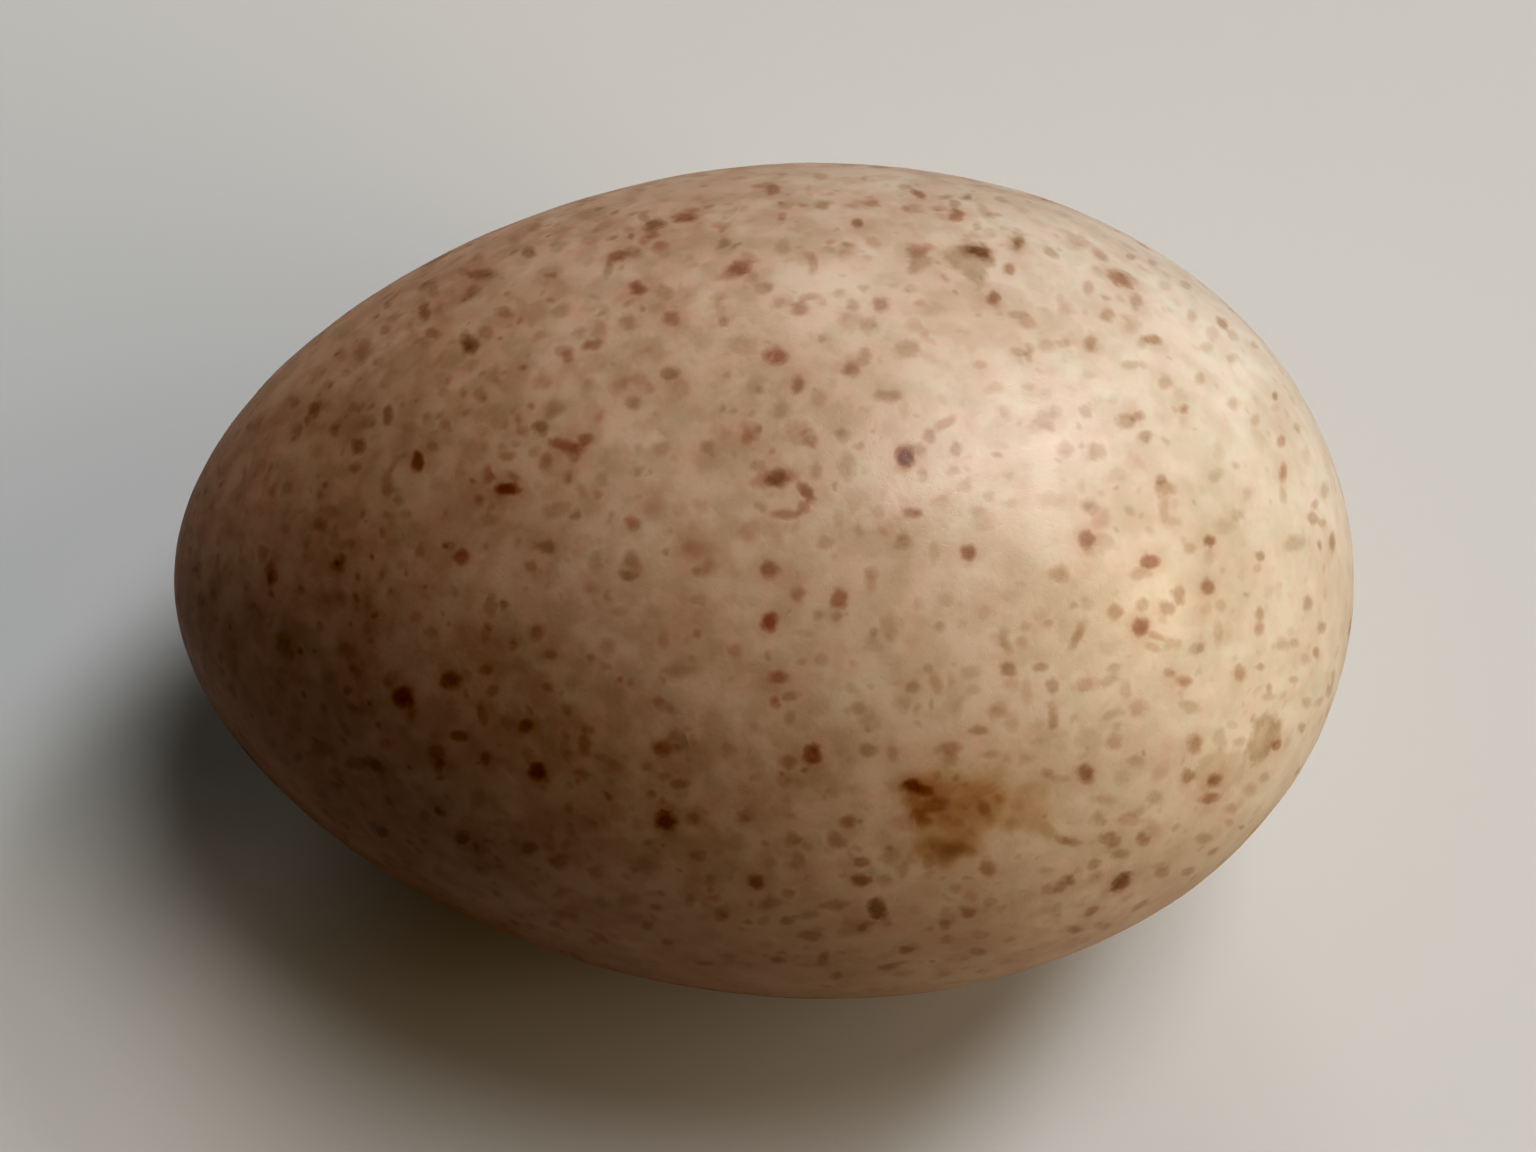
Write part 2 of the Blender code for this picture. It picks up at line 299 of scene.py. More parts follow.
550 846 6 7 20 t; 565 845 4 5 30 t; 537 870 3 2.5 0 T; 595 872 7 6 30 T; 497 893 6 3 40 t; 500 866 5 2 0 t
562 893 9 4 -20 t; 570 912 9 7 0 p; 555 924 6 4 0 T; 530 926 4 4 0 t; 602 938 8 3 35 T; 590 931 5 2 0 t
666 821 9 9 0 K; 693 819 7 6 0 B; 618 815 8 9 0 p; 665 806 8 5 0 p; 645 865 12 8 10 t; 710 880 5 5.5 0 t
756 881 7 6.5 0 D; 655 893 11 3 -5 t; 628 901 11 6 0 t; 657 907 6 3 0 T; 648 925 6 4 0 T; 722 913 7 6 -10 T
690 901 5 6 20 t; 667 942 5 3 10 T; 705 963 8 2 5 T; 730 955 10 1.8 0 f; 765 905 6 5 0 t; 735 843 12 8 0 f
765 920 5 4 0 t; 655 846 10 7 0 f
911 786 9 6.5 0 K; 926 791 7 5 0 D; 932 806 14 6.5 -10 B; 918 815 7 6 0 T; 985 808 6 6.5 0 T; 958 823 6 5 0 t
955 851 20 7 -8 T; 848 822 7.5 6 0 B; 836 840 9 6.5 40 B; 792 840 7 6 0 T; 770 863 6 6 0 t; 798 861 7 8 -10 T
862 862 7 4.5 0 R; 860 879 9 6 0 D; 890 857 10 8 0 t; 902 870 6 8 0 t; 885 880 8 6 0 t; 929 863 6 7 0 T
988 868 7.5 8.5 -20 B; 955 888 6 5 0 p; 970 895 7 6 0 p; 991 902 6 5 0 t; 788 893 5 4.5 0 t; 833 905 14 4.5 -3 T
877 909 7.5 9 -15 N; 885 921 6 5 0 t; 788 921 7 4.5 0 B; 855 928 16 8 0 t; 861 927 4 3.5 0 B; 811 935 11 5 8 B
808 915 10 4 -10 t; 968 912 7 5 0 B; 947 918 8 8 0 t; 945 924 5 4 0 r; 980 935 9 4 0 t; 905 951 6.5 3.5 0 B
978 951 8 3.5 0 B; 778 961 7 3.5 0 B; 823 960 4.5 8.5 25 B; 890 967 10 3 -8 B; 837 977 6 3.5 0 B; 905 974 10 2.5 -8 t
945 974 7 2.5 0 t; 1060 887 6 4.5 -20 B; 1048 890 7 5 0 t; 1067 880 5 5 0 t; 1048 830 7 9 -20 t; 1062 841 7 4 25 T
1057 912 5 8 0 f; 932 962 3 1.5 0 T
1073 843 8 4.5 0 B; 1110 839 9 7 20 B; 1099 818 6 7 0 T; 1128 819 11 6 0 t; 1138 811 8 4 -30 t; 1142 838 6 6 0 B
1121 854 8 4.5 0 T; 1155 797 7 6 0 T; 1152 828 8 9 -20 p; 1094 864 6 5 0 T; 1096 876 7 5 -30 t; 1121 882 10 6.5 -35 K
1071 880 4 5 0 B; 1162 871 7 7 0 T; 1188 872 7 4.5 0 T; 1203 838 8.5 5 0 T; 1213 852 6 2.5 -35 T; 1210 798 10 4.5 -15 D
1230 808 6 5 0 t; 1229 823 5 4 0 t; 1241 827 3 2.5 0 T; 1222 862 6 3.5 -30 t; 1092 911 8 4 -40 B; 1103 926 8 4 0 T
1075 929 7 4 0 B; 1140 905 9 3 -30 T; 1175 827 6 3 -40 t; 1105 800 10 5 0 t; 1250 790 8 6 0 t
"""

# A stain of another, golden pigment: corners in pixels, softness of the edge in
# pixels, and strength.
OCHRE = [
    ("903 779, 925 776, 960 778, 1000 775, 1008 800, 1000 822, 985 832, 985 848, 972 857, 952 861, 935 858, 919 850,"
     " 917 835, 912 818, 903 802", 12, 0.78),
    ("985 782, 1020 788, 1047 790, 1042 803, 1046 826, 1052 838, 1036 842, 1022 826, 1000 828, 985 815", 12, 0.44),
    ("905 795, 935 798, 958 806, 950 818, 925 824, 908 818", 9, 0.45),
    ("935 842, 962 838, 975 846, 962 858, 940 857", 8, 0.30),
    # the deepest red mark is warmer than the rest
    ("897 448, 912 446, 915 462, 909 471, 897 467", 4, 0.62),
]

# Wide patches of painted shade, or of painted light where the strength is less than zero: shade on the shaded lower
# left, beside the point and on the blunt end, light on the lower rim where the floor throws light up, and on the upper
# middle.
PAINTED_SHADE_AND_LIGHT = [
    ("400 600, 500 600, 590 680, 700 740, 830 760, 810 850, 690 875, 560 850, 470 780, 410 700", 45, 0.20),
    ("262 410, 350 385, 460 400, 480 470, 380 505, 275 495", 42, 0.20),
    ("470 880, 560 870, 650 905, 640 960, 560 955, 480 920", 35, -0.25),
    ("1040 870, 1130 870, 1150 920, 1090 960, 1020 940", 30, -0.18),
    ("480 290, 560 250, 720 245, 740 300, 620 340, 540 400, 470 370", 45, -0.13),
    ("570 430, 700 425, 730 510, 620 560, 550 520", 40, -0.12),
    ("1150 520, 1230 400, 1320 400, 1352 580, 1325 700, 1240 660", 50, 0.16),
]

# Larger stains with an outline of their own: corners in pixels, softness of
# the edge in pixels, pigment and how red it is.
STAINS = [
    ("1255 722, 1270 716, 1282 722, 1284 738, 1277 748, 1266 757, 1253 761, 1249 745", 9, 0.56, 0.40),
    ("950 246, 965 238, 985 241, 994 255, 990 275, 978 286, 965 279, 952 269, 945 256", 11, 0.55, 0.15),
    ("907 246, 928 244, 935 256, 932 270, 911 273, 906 258", 8, 0.40, 0.55),
    ("1195 760, 1215 750, 1240 752, 1246 768, 1238 785, 1225 795, 1205 792, 1193 778", 9, 0.22, 0.35),
]


def read_marks():
    rows = [m.split() for line in MARKS.strip().splitlines() for m in line.split(";")]
    px = np.array([[float(r[0]), float(r[1])] for r in rows])
    size = np.array([[float(r[2]), float(r[3])] for r in rows])
    turn = np.radians([float(r[4]) for r in rows])
    return px, size, turn, [r[5] for r in rows]


class Mark:
    """An elliptical mark: its middle, and the 2 x 3 matrix that takes an offset
    from the middle to the mark's own plane, where its edge is one unit away."""

    def __init__(self, middle, plane, reach, kind, rng):
        self.middle, self.plane, self.reach = middle, plane, reach
        pigment, red, vary, halo = KINDS[kind]
        self.kind = kind
        self.pigment = pigment * rng.uniform(0.85, 1.20)
        self.red = float(np.clip(red + rng.uniform(-vary, vary), 0.0, 1.0))
        self.halo = halo


def tangents(n):
    a = np.cross(n, [0.31, 0.87, 0.38])
    a /= np.linalg.norm(a)
    return a, np.cross(n, a)


def seen_marks(rng):
    px, size, turn, kinds = read_marks()
    at, px = from_pixels(px)
    normals = egg_normal(at)
    marks = []
    for p, q, n, (rx, ry), w, kind in zip(at, px, normals, size, turn, kinds):
        if np.isnan(p[0]):
            continue
        a, b = tangents(n)
        step = 1e-5
        base, da, db = to_pixels(np.stack([p, p + step * a, p + step * b]))
        jac = np.stack([(da - base) / step, (db - base) / step], 1)      # pixels per metre
        spin = np.array([[math.cos(w), math.sin(w)], [-math.sin(w), math.cos(w)]])
        flat = (spin @ jac) / np.array([[rx], [ry]])
        # a mark at the rim is drawn thin there, and is kept from smearing round it
        u, s, vt = np.linalg.svd(flat)
        longest = 1.0 / max(s.min(), 1e-9)
        limit = max(1.9 * max(rx, ry), 9.0) / 17.6e3
        s = np.maximum(s, 1.0 / limit)
        flat = u @ np.diag(s) @ vt
        marks.append(Mark(p, flat @ np.stack([a, b]), 1.0 / s.min(), kind, rng))
    return marks


def unseen_marks(points, normals, seen, rng):
    """Marks like those seen, on the part of the egg that the camera doesn't see."""
    to_eye = EYE - points
    to_eye /= np.linalg.norm(to_eye, axis=1, keepdims=True)
    facing = (normals * to_eye).sum(1)
    hidden = np.nonzero(facing < 0.10)[0]
    shown = (facing >= 0.10).sum()
    wanted = int(round(len(seen) * 1.02 * len(hidden) / shown))
    order = rng.permutation(hidden)
    middles = np.array([m.middle for m in seen])
    reaches = np.array([m.reach for m in seen])
    marks = []
    for i in order:
        if len(marks) >= wanted:
            break
        like = seen[rng.integers(len(seen))]
        if like.reach > 0.0011 and rng.random() < 0.6:
            continue
        p, n = points[i], normals[i]
        scale = rng.uniform(0.85, 1.15)
        reach = min(like.reach, 0.0010) * scale
        if ((np.linalg.norm(middles - p, axis=1)) < 0.75 * (reaches + reach)).any():
            continue
        a, b = tangents(n)
        w = rng.uniform(0.0, math.pi)
        thin = rng.uniform(0.62, 1.0)
        spin = np.array([[math.cos(w), math.sin(w)], [-math.sin(w), math.cos(w)]])
        plane = np.diag([1.0 / reach, 1.0 / (reach * thin)]) @ spin @ np.stack([a, b])
        marks.append(Mark(p, plane, reach, like.kind, rng))
        middles = np.vstack([middles, p])
        reaches = np.append(reaches, reach)
    return marks


# --------------------------------------------------------------------------
# The egg's mesh: an even net of squares, with a shell's slight unevenness
# --------------------------------------------------------------------------
ALONG, AROUND = 140, 110
LAYERS = 5
EDGE = 1.75                 # no mark shows farther out than this many of its radii


def net():
    """Unit vectors, squares and map corners of six patches that cover the egg."""
    def steps(n):
        return np.tan(math.pi / 4 * (2.0 * np.arange(n + 1) / n - 1.0))

    wide, tall = 2 * ALONG, 3 * AROUND
    gap = 0.9
    patches = [
        # fixed axis, sign, first axis, second axis, counts, place on the map
        (1, 1, 0, 2, ALONG, AROUND, 0, 0), (1, -1, 0, 2, ALONG, AROUND, ALONG, 0),
        (2, 1, 0, 1, ALONG, AROUND, 0, AROUND), (2, -1, 0, 1, ALONG, AROUND, ALONG, AROUND),
        (0, 1, 1, 2, AROUND, AROUND, 0, 2 * AROUND), (0, -1, 1, 2, AROUND, AROUND, ALONG, 2 * AROUND),
    ]
    points, squares, maps = [], [], []
    start = 0
    for fixed, sign, first, second, n, m, left, base in patches:
        i, j = np.meshgrid(np.arange(n + 1), np.arange(m + 1), indexing="ij")
        p = np.zeros((n + 1, m + 1, 3))
        p[..., fixed] = sign
        p[..., first] = steps(n)[i]
        p[..., second] = steps(m)[j]
        points.append(p.reshape(-1, 3))
        k = start + np.arange((n + 1) * (m + 1)).reshape(n + 1, m + 1)
        quad = np.stack([k[:-1, :-1], k[1:, :-1], k[1:, 1:], k[:-1, 1:]], -1).reshape(-1, 4)
        room_x = ALONG if n == ALONG else AROUND
        uv = np.stack([(left + gap + i * (room_x - 2 * gap) / n) / wide,
                       (base + gap + j * (m - 2 * gap) / m) / tall], -1).reshape(-1, 2)
        # outward when first x second points along the fixed axis
        handed = np.cross(np.eye(3)[first], np.eye(3)[second])[fixed] * sign
        if handed < 0:
            quad = quad[:, ::-1]
        squares.append(quad)
        maps.append(uv)
        start += len(points[-1])
    points = np.vstack(points)
    points /= np.linalg.norm(points, axis=1, keepdims=True)
    uv = np.vstack(maps)
    squares = np.vstack(squares)
    # join the patches where they meet
    key = np.round(points * 1e6).astype(np.int64)
    _, first_of, same = np.unique(key, axis=0, return_index=True, return_inverse=True)
    same = same.reshape(-1)
    return points[first_of], same[squares], uv[squares]


def waves(p, length, count, rng):
    """A smooth uneven field of about unit size with bumps of about this length."""
    total = np.zeros(len(p))
    for _ in range(count):
        d = rng.normal(size=3)
        d /= np.linalg.norm(d)
        k = 2 * math.pi / (length * rng.uniform(0.7, 1.4))
        total += np.sin(p @ d * k + rng.uniform(0, 2 * math.pi))
    return total / math.sqrt(count / 2.0)


def polygon_distance(q, corners):
    """Signed distance in pixels from each point to an outline, less than zero inside."""
    best = np.full(len(q), 1e9)
    inside = np.zeros(len(q), bool)
    for a, b in zip(corners, np.roll(corners, -1, 0)):
        ab = b - a
        t = np.clip(((q - a) @ ab) / (ab @ ab), 0, 1)
        best = np.minimum(best, np.linalg.norm(q - a - t[:, None] * ab, axis=1))
        cross = (a[1] > q[:, 1]) != (b[1] > q[:, 1])
        with np.errstate(divide="ignore", invalid="ignore"):
            x = a[0] + (q[:, 1] - a[1]) * ab[0] / ab[1]
        inside ^= cross & (q[:, 0] < x)
    return np.where(inside, -best, best)


def paint(points, normals, squares, rng):
    """Writes the marks into layers, for each corner of each square: two offsets
    in a mark's own plane, its strength and its redness. A square holds at most
    one mark in each layer, so that no mark runs into another one."""
    count = len(squares)
    layers = [np.tile(np.array([3.0, 3.0, 0.0, 0.5]), (count, 4, 1)) for _ in range(LAYERS)]
    free = np.ones((LAYERS, count), bool)
    halo = np.zeros(len(points))
    centres = points[squares].mean(1)
    order = np.argsort(centres[:, 0])
    sorted_x = centres[order, 0]
    mm = points * 1000.0

    px = to_pixels(points)
    front = (normals * (EYE - points)).sum(1) > 0
    wander = 0.42 * waves(mm, 3.4, 24, rng) + 0.36 * waves(mm, 1.5, 32, rng)
    cloud = 1.0 + 0.16 * waves(mm, 2.6, 24, rng) + 0.14 * waves(mm, 1.1, 32, rng)
    for outline, soft, pigment, red in STAINS:
        corners = np.array([[float(v) for v in c.split()] for c in outline.split(",")])
        middle = 0.5 * (corners.min(0) + corners.max(0))
        near = front & (np.abs(px - middle) < 0.5 * np.ptp(corners, axis=0) + 45).all(1)
        value = np.full(len(points), 3.0)
        value[near] = 1.0 + polygon_distance(px[near], corners) / soft + 0.6 * wander[near]
        value = np.clip(value, 0.0, 3.0)
        hold = (value[squares] < 2.0).any(1)
        k = next(k for k in range(LAYERS) if free[k][hold].all())
        free[k][hold] = False
        layers[k][hold, :, 0] = value[squares[hold]]
        layers[k][hold, :, 1] = 0.0
        layers[k][hold, :, 2] = pigment * np.clip(cloud[squares[hold]], 0.4, 1.6)
        layers[k][hold, :, 3] = red

    # the ochre stain, then the painted shade and painted light, each on the side facing the camera with a soft
    # wandering edge
    ochre_and_painted_shade_sums = []
    for outlines in (OCHRE, PAINTED_SHADE_AND_LIGHT):
        stain_and_painted_shade_sum = np.zeros(len(points))
        for outline, soft, strength in outlines:
            corners = np.array([[float(v) for v in c.split()] for c in outline.split(",")])
            edge = polygon_distance(px, corners) / soft + 0.55 * wander
            t = np.clip(0.5 - 0.5 * edge, 0.0, 1.0)
            stain_and_painted_shade_sum += np.where(front, strength * t * t * (3.0 - 2.0 * t) * np.clip(cloud, 0.75, 1.2), 0.0)
        ochre_and_painted_shade_sums.append(stain_and_painted_shade_sum)

    seen = seen_marks(rng)
    marks = seen + unseen_marks(points, normals, seen, np.random.default_rng(7))
    marks.sort(key=lambda m: -m.reach * m.pigment)
    used, dropped = [0] * LAYERS, 0
    for m in marks:
        u, s, vt = np.linalg.svd(m.plane, full_matrices=False)
        wide = np.diag(1.0 / (EDGE / s + 0.00034)) @ vt
        span = EDGE * m.reach + 0.00040
        i0, i1 = np.searchsorted(sorted_x, (m.middle[0] - span, m.middle[0] + span))
        some = order[i0:i1]
        away = centres[some] - m.middle
        some = some[(np.abs(away) < span).all(1)]
        reach = np.linalg.norm((centres[some] - m.middle) @ wide.T, axis=1)
        some = some[reach < 1.0]
        for k in range(LAYERS):
            if free[k][some].all():
                break
        else:
            dropped += 1
            continue
        used[k] += 1
        free[k][some] = False
        q = (points[squares[some]] - m.middle) @ m.plane.T
        layers[k][some, :, :2] = q
        layers[k][some, :, 2] = m.pigment
        layers[k][some, :, 3] = m.red
        if m.halo > 0:
            ring = np.unique(squares[some])
            d = np.linalg.norm(points[ring] - m.middle, axis=1) / (m.reach + 0.00025)
            halo[ring] = np.maximum(halo[ring], m.halo * np.clip(1.6 - d, 0, 1))
    print("marks", len(seen), "of", len(marks), "dropped", dropped, "layers", used)
    return layers, halo, ochre_and_painted_shade_sums[0], ochre_and_painted_shade_sums[1]


def build_egg():
    rng = np.random.default_rng(20)
    s, squares, uv = net()
    smooth = on_egg(s)
    normals = egg_normal(smooth)
    mm = smooth * 1000.0
    rise = (0.022 * waves(mm, 13.0, 24, rng) + 0.010 * waves(mm, 5.0, 24, rng)
            + 0.0035 * waves(mm, 1.9, 40, rng) + 0.0015 * waves(mm, 0.95, 40, rng))
    # a few grains of extra shell stand out a little
    grains = rng.choice(len(smooth), 90, replace=False)
    for g in grains:
        near = np.nonzero((np.abs(smooth - smooth[g]) < 0.0011).all(1))[0]
        d = np.linalg.norm(mm[near] - mm[g], axis=1)
        width = rng.uniform(0.25, 0.5)
        rise[near] += rng.uniform(0.006, 0.02) * np.exp(-(d / width) ** 2)
    points = smooth + normals * (rise / 1000.0)[:, None]
    # never below the resting spot
    points[:, 2] = np.maximum(points[:, 2], 0.0)

    mesh = bpy.data.meshes.new("turkey_egg")
    mesh.from_pydata([tuple(p) for p in points], [], [tuple(int(i) for i in f) for f in squares])
    layer = mesh.uv_layers.new(name="OFBake")
    layer.uv.foreach_set("vector", uv.reshape(-1).astype(np.float32))
    layers, halo, ochre, painted_shade_and_light = paint(smooth, normals, squares, rng)
    for k, values in enumerate(layers):
        a = mesh.attributes.new("marks%d" % k, "FLOAT_COLOR", "CORNER")
        a.data.foreach_set("color", values.reshape(-1).astype(np.float32))
    # the red halos, the ochre stain, and the painted shade and painted light, stored at the points
    for name, values in (("halo", halo), ("ochre", ochre), ("painted_shade_and_light", painted_shade_and_light)):
        a = mesh.attributes.new(name, "FLOAT", "POINT")
        a.data.foreach_set("value", values.astype(np.float32))
    mesh.validate()
    mesh.shade_smooth()
    egg = bpy.data.objects.new("turkey_egg", mesh)
    bpy.context.scene.collection.objects.link(egg)
    return egg


# --------------------------------------------------------------------------
# The shell's finish
# --------------------------------------------------------------------------
class Nodes:
    """Small helper to write node maths in lines."""

    def __init__(self, material):
        material.use_nodes = True
        self.tree = material.node_tree
        self.bsdf = self.tree.nodes["Principled BSDF"]

    def add(self, kind, **settings):
        node = self.tree.nodes.new(kind)
        for name, value in settings.items():
            setattr(node, name, value)
        return node

    def put(self, socket, value):
        if hasattr(value, "is_output"):
            self.tree.links.new(value, socket)
        else:
            socket.default_value = value

    def math(self, op, a, b=0.0, c=0.0, clamp=False):
        node = self.add("ShaderNodeMath", operation=op, use_clamp=clamp)
        for i, v in enumerate((a, b, c)):
            self.put(node.inputs[i], v)
        return node.outputs[0]

    def vector(self, op, a, b=(0, 0, 0), c=None, scale=None):
        node = self.add("ShaderNodeVectorMath", operation=op)
        self.put(node.inputs[0], a)
        if op != "LENGTH":
            self.put(node.inputs[1], b)
        if c is not None:
            self.put(node.inputs[2], c)
        if scale is not None:
            self.put(node.inputs["Scale"], scale)
        return node.outputs["Value" if op in ("LENGTH", "DOT_PRODUCT", "DISTANCE") else "Vector"]

    def ramp(self, value, low, high, out_low=0.0, out_high=1.0, kind="SMOOTHSTEP"):
        node = self.add("ShaderNodeMapRange", interpolation_type=kind)
        for name, v in (("Value", value), ("From Min", low), ("From Max", high),
                        ("To Min", out_low), ("To Max", out_high)):
            self.put(node.inputs[name], v)
        return node.outputs["Result"]

    def noise(self, at, scale, detail=2.0, rough=0.5, distort=0.0, out="Fac"):
        node = self.add("ShaderNodeTexNoise", noise_dimensions="3D")
        self.put(node.inputs["Vector"], at)
        node.inputs["Scale"].default_value = scale
        node.inputs["Detail"].default_value = detail
        node.inputs["Roughness"].default_value = rough
        node.inputs["Distortion"].default_value = distort
        return node.outputs[out]

    def cells(self, at, scale, feature="F1", loose=1.0):
        node = self.add("ShaderNodeTexVoronoi", voronoi_dimensions="3D", feature=feature)
        self.put(node.inputs["Vector"], at)
        node.inputs["Scale"].default_value = scale
        node.inputs["Randomness"].default_value = loose
        return node

    def split(self, vector):
        node = self.add("ShaderNodeSeparateXYZ")
        self.put(node.inputs[0], vector)
        return node.outputs

    def join(self, x, y, z):
        node = self.add("ShaderNodeCombineXYZ")
        for i, v in enumerate((x, y, z)):
            self.put(node.inputs[i], v)
        return node.outputs[0]


CREAM = (0.585, 0.436, 0.320)          # the bare shell at mid-length
PIGMENT_AND_PAINTED_LIGHT_X = (0.0089, 0.0166, 0.0223)     # how fast it pales, per millimetre, towards the blunt end: partly less pigment, partly painted light on the lit blunt end and painted shade on the shaded point,
PAINTED_LIGHT_Y = (0.0005, 0.0021, 0.0052)    # towards the back, the lit side, most in blue: painted light there and painted shade on the front,
PAINTED_LIGHT_XY = (-0.0105, -0.0105, -0.0092) # and from one quarter of the egg to the next: painted light on the blunt end's front and the point's back, painted shade on the other two
RED_LOSS = (0.48, 0.88, 1.08)          # what one unit of each pigment takes out
OLIVE_LOSS = (0.58, 0.72, 0.97)
OCHRE_LOSS = (0.36, 0.60, 0.98)


def shell_finish():
    material = bpy.data.materials.new("eggshell")
    n = Nodes(material)
    where = n.add("ShaderNodeTexCoord").outputs["Object"]
    mm = n.vector("SCALE", where, scale=1000.0)

    # slow changes of ground colour, patchy haze and more pigment towards the point
    slow = n.noise(mm, 0.085, 1.0, 0.5)
    patchy = n.noise(mm, 0.24, 2.0, 0.5)
    haze = n.ramp(patchy, 0.36, 0.66, 0.0, 1.0)
    blot = n.ramp(n.noise(mm, 0.62, 2.0, 0.5), 0.40, 0.64, 0.0, 1.0)
    along = n.vector("DOT_PRODUCT", mm, (0.99, -0.10, 0.0))
    towards_point = n.ramp(along, 31.0, -33.0, 0.0, 1.0, "LINEAR")
    denser = n.math("MULTIPLY_ADD", towards_point, 1.05, 0.35)

    red = n.math("MULTIPLY", n.ramp(slow, 0.35, 0.68), 0.08)
    haze = n.math("MULTIPLY", haze, denser)
    red = n.math("MULTIPLY_ADD", haze, 0.13, red)
    olive = n.math("MULTIPLY", n.math("MULTIPLY", blot, denser), 0.21)
    olive = n.math("MULTIPLY_ADD", haze, 0.10, olive)

    # the ground is pinker in one place and yellower in the next
    hue = n.math("SUBTRACT", n.noise(n.vector("ADD", mm, (31.0, 7.0, 19.0)), 0.60, 2.0, 0.55), 0.5)
    hue = n.math("MULTIPLY", hue, n.math("MULTIPLY_ADD", towards_point, 0.60, 0.54))
    red = n.math("MULTIPLY_ADD", hue, 1.12, red)
    olive = n.math("MULTIPLY_ADD", hue, -1.06, olive)

    # the many faint flecks, each with its own size, strength and hue
    bend = n.vector("SUBTRACT", n.noise(mm, 1.1, 1.0, 0.5, out="Color"), (0.5, 0.5, 0.5))
    bent = n.vector("MULTIPLY_ADD", bend, (0.75, 0.75, 0.75), mm)
    crowd = n.math("MULTIPLY", n.ramp(patchy, 0.35, 0.65, 0.62, 0.98), denser)
    for scale, loose, big, small, strength in ((0.60, 1.0, 0.56, 0.26, 0.62), (0.95, 0.8, 0.44, 0.24, 0.62)):
        cell = n.cells(bent, scale, "F1", loose)
        pick = n.split(cell.outputs["Color"])
        size = n.math("MULTIPLY_ADD", pick[0], big - small, small)
        fleck = n.ramp(cell.outputs["Distance"], size, n.math("MULTIPLY", size, 0.20))
        if big > 0.5:
            # a large one fades before it meets its neighbour
            next_cell = n.cells(bent, scale, "F2", loose)
            apart = n.math("SUBTRACT", next_cell.outputs["Distance"], cell.outputs["Distance"])
            fleck = n.math("MULTIPLY", fleck, n.ramp(apart, 0.0, 0.20))
        force = n.math("MULTIPLY", n.math("POWER", pick[1], 1.3), strength)
        fleck = n.math("MULTIPLY", n.math("MULTIPLY", fleck, force), crowd)
        share = n.ramp(pick[2], 0.25, 0.80)
        red = n.math("MULTIPLY_ADD", fleck, share, red)
        olive = n.math("MULTIPLY_ADD", fleck, n.math("SUBTRACT", 1.0, share), olive)

    # the marks themselves, each with a ragged soft edge
    ragged = n.math("SUBTRACT", n.noise(mm, 1.5, 2.0, 0.55), 0.5)
    fine = n.noise(mm, 3.4, 2.0, 0.55)
    grain = n.ramp(fine, 0.3, 0.7, 0.86, 1.12, "LINEAR")
    for k in range(LAYERS):
        a = n.add("ShaderNodeAttribute", attribute_type="GEOMETRY", attribute_name="marks%d" % k)
        part = n.split(a.outputs["Color"])
        far = n.vector("LENGTH", n.join(part[0], part[1], 0.0))
        window = n.ramp(far, EDGE, EDGE - 0.25)
        far = n.math("MULTIPLY_ADD", ragged, 1.5, far)
        body = n.math("MULTIPLY", n.ramp(far, 1.60, 0.42), window)
        amount = n.math("MULTIPLY", body, part[2])
        amount = n.math("MULTIPLY", amount, grain)
        red = n.math("MULTIPLY_ADD", amount, a.outputs["Alpha"], red)
        olive = n.math("MULTIPLY_ADD", amount, n.math("SUBTRACT", 1.0, a.outputs["Alpha"]), olive)
    halo = n.add("ShaderNodeAttribute", attribute_type="GEOMETRY", attribute_name="halo")
    red = n.math("MULTIPLY_ADD", halo.outputs["Fac"], 0.22, red)
    # painted shade, and painted light where it is less than zero, added to the olive pigment
    painted_shade_and_light = n.add("ShaderNodeAttribute", attribute_type="GEOMETRY", attribute_name="painted_shade_and_light")
    olive = n.math("ADD", painted_shade_and_light.outputs["Fac"], olive)

    # pigment takes out light, blue first
    left = []
    place = n.split(mm)
    place = n.join(place[0], place[1], n.math("MULTIPLY", n.math("MULTIPLY", place[0], place[1]), 1.0 / 30.0))
    ochre = n.add("ShaderNodeAttribute", attribute_type="GEOMETRY", attribute_name="ochre").outputs["Fac"]
    # besides the ochre stain, the paling slopes add painted light and painted shade, and along the egg partly also less
    # pigment towards the blunt end
    for r, o, g, x, y, xy in zip(RED_LOSS, OLIVE_LOSS, OCHRE_LOSS, PIGMENT_AND_PAINTED_LIGHT_X, PAINTED_LIGHT_Y, PAINTED_LIGHT_XY):
        pale = n.math("MULTIPLY_ADD", ochre, -g, n.vector("DOT_PRODUCT", place, (x, y, xy)))
        left.append(n.math("EXPONENT", n.math("MULTIPLY_ADD", red, -r, n.math("MULTIPLY_ADD", olive, -o, pale))))
    colour = n.vector("MULTIPLY", n.join(*left), CREAM)
    colour = n.vector("SCALE", colour, scale=n.ramp(fine, 0.3, 0.7, 0.990, 1.010, "LINEAR"))
    n.put(n.bsdf.inputs["Base Color"], colour)

    # satin cuticle, with a fine grain and pores
    rough = n.ramp(fine, 0.3, 0.7, 0.32, 0.40, "LINEAR")
    n.put(n.bsdf.inputs["Roughness"], rough)
    n.bsdf.inputs["IOR"].default_value = 1.5
    n.bsdf.inputs["Specular IOR Level"].default_value = 0.42
    skin = n.noise(mm, 3.6, 2.0, 0.6)
    relief = n.math("MULTIPLY_ADD", skin, 0.9, n.ramp(skin, 0.30, 0.40, -0.25, 0.0))
    bump = n.add("ShaderNodeBump")
    bump.inputs["Strength"].default_value = 0.30
    bump.inputs["Distance"].default_value = 0.00003
    n.put(bump.inputs["Height"], relief)
    n.put(n.bsdf.inputs["Normal"], bump.outputs["Normal"])
    return material


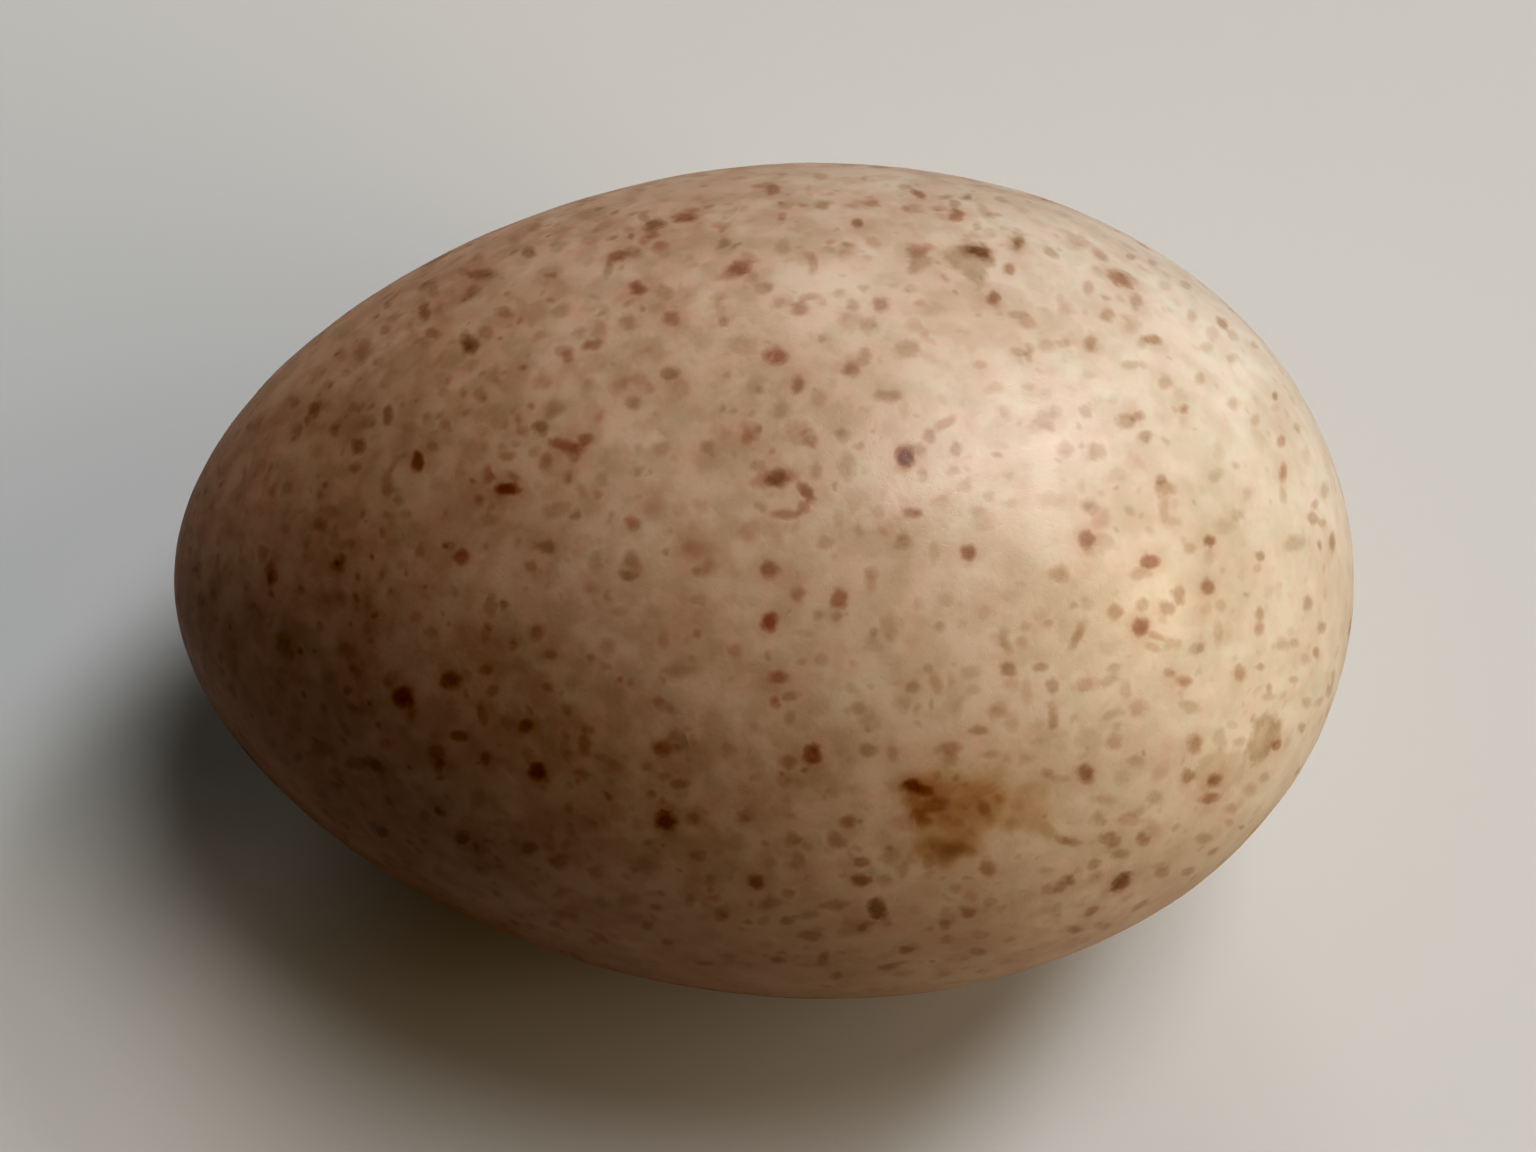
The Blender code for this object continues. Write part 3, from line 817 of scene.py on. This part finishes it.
# --------------------------------------------------------------------------
# Floor, backdrop and light
# --------------------------------------------------------------------------
def make_floor():
    rings, around, reach = 24, 96, 4.0
    points, faces = [(0.0, 0.0, 0.0)], []
    for i in range(1, rings + 1):
        r = reach * (i / rings) ** 2
        for j in range(around):
            w = 2 * math.pi * j / around
            points.append((r * math.cos(w), r * math.sin(w), 0.0))
    for j in range(around):
        faces.append((0, 1 + j, 1 + (j + 1) % around))
    for i in range(rings - 1):
        for j in range(around):
            a, b = 1 + i * around + j, 1 + i * around + (j + 1) % around
            faces.append((a, a + around, b + around, b))
    mesh = bpy.data.meshes.new("floor")
    mesh.from_pydata(points, [], faces)
    floor = bpy.data.objects.new("floor", mesh)
    floor.location.z = -0.00002
    bpy.context.scene.collection.objects.link(floor)
    material = bpy.data.materials.new("floor")
    n = Nodes(material)
    # what it throws back onto the egg is warmer and less than what is seen of it
    pick = n.add("ShaderNodeMix", data_type="RGBA")
    n.put(pick.inputs["Factor"], n.add("ShaderNodeLightPath").outputs["Is Camera Ray"])
    colours = [socket for socket in pick.inputs if socket.type == "RGBA"]
    colours[0].default_value = (0.420, 0.349, 0.302, 1.0)
    colours[1].default_value = (0.602, 0.592, 0.575, 1.0)
    n.put(n.bsdf.inputs["Base Color"], [out for out in pick.outputs if out.type == "RGBA"][0])
    n.bsdf.inputs["Roughness"].default_value = 0.6
    n.bsdf.inputs["Specular IOR Level"].default_value = 0.15
    mesh.materials.append(material)


def direction(azimuth, elevation):
    """World direction towards a light, its azimuth counted from the picture's right."""
    a, e = math.radians(azimuth), math.radians(elevation)
    level = np.array([-BACK[0], -BACK[1], 0.0])
    level /= np.linalg.norm(level)
    return (math.cos(e) * math.cos(a) * RIGHT + math.cos(e) * math.sin(a) * level
            + math.sin(e) * np.array([0.0, 0.0, 1.0]))


def hang(name, data, azimuth, elevation, distance, colour):
    data.color = colour
    light = bpy.data.objects.new(name, data)
    d = Vector(direction(azimuth, elevation))
    light.location = d * distance + Vector((0.0, 0.0, 0.02))
    light.rotation_mode = "QUATERNION"
    light.rotation_quaternion = d.to_track_quat("Z", "Y")
    light.visible_camera = False
    bpy.context.scene.collection.objects.link(light)


def window(name, azimuth, elevation, spread, strength, colour):
    """Soft light from far away, its strength what falls on a surface that faces it."""
    data = bpy.data.lights.new(name, "SUN")
    data.angle = math.radians(spread)
    data.energy = strength
    hang(name, data, azimuth, elevation, 1.0, colour)


def soft_box(name, azimuth, elevation, distance, size, strength, colour):
    """A round soft box, its strength what falls on a surface at the origin that faces it."""
    data = bpy.data.lights.new(name, "AREA")
    data.shape = "DISK"
    data.size = size
    data.energy = strength * math.pi * distance ** 2
    hang(name, data, azimuth, elevation, distance, colour)


def make_light():
    window("window", 43.0, 45.0, 16.0, 1.22, (0.87, 0.93, 1.0))
    window("window_top", 45.0, 66.0, 24.0, 1.50, (0.955, 0.98, 1.0))
    window("window_back", 90.0, 25.0, 24.0, 0.72, (0.96, 1.0, 0.945))
    soft_box("box_right", 0.0, 45.0, 0.90, 0.43, 0.73, (1.0, 0.905, 0.80))
    soft_box("box_low", -20.0, 30.0, 0.90, 0.43, 0.95, (1.0, 0.805, 0.555))
    world = bpy.data.worlds.new("studio")
    bpy.context.scene.world = world
    world.use_nodes = True
    tree = world.node_tree
    back = tree.nodes["Background"]
    back.inputs["Color"].default_value = (1.0, 0.62, 0.34, 1.0)
    back.inputs["Strength"].default_value = 0.01
    seen = tree.nodes.new("ShaderNodeBackground")
    seen.inputs["Color"].default_value = (0.60, 0.59, 0.57, 1.0)
    seen.inputs["Strength"].default_value = 0.9
    path = tree.nodes.new("ShaderNodeLightPath")
    mix = tree.nodes.new("ShaderNodeMixShader")
    tree.links.new(path.outputs["Is Camera Ray"], mix.inputs[0])
    tree.links.new(back.outputs[0], mix.inputs[1])
    tree.links.new(seen.outputs[0], mix.inputs[2])
    tree.links.new(mix.outputs[0], tree.nodes["World Output"].inputs["Surface"])
    view = bpy.context.scene.view_settings
    view.view_transform = "Standard"
    view.look = "None"
    view.gamma = 0.769
    # deep shadows close up, as they do in the photograph
    view.use_curve_mapping = True
    view.curve_mapping.black_level = (0.02, 0.02, 0.02)
    view.curve_mapping.update()


make_camera()
make_floor()
make_light()
egg = build_egg()
egg.data.materials.append(shell_finish())
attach(egg, "root")
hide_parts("egg")
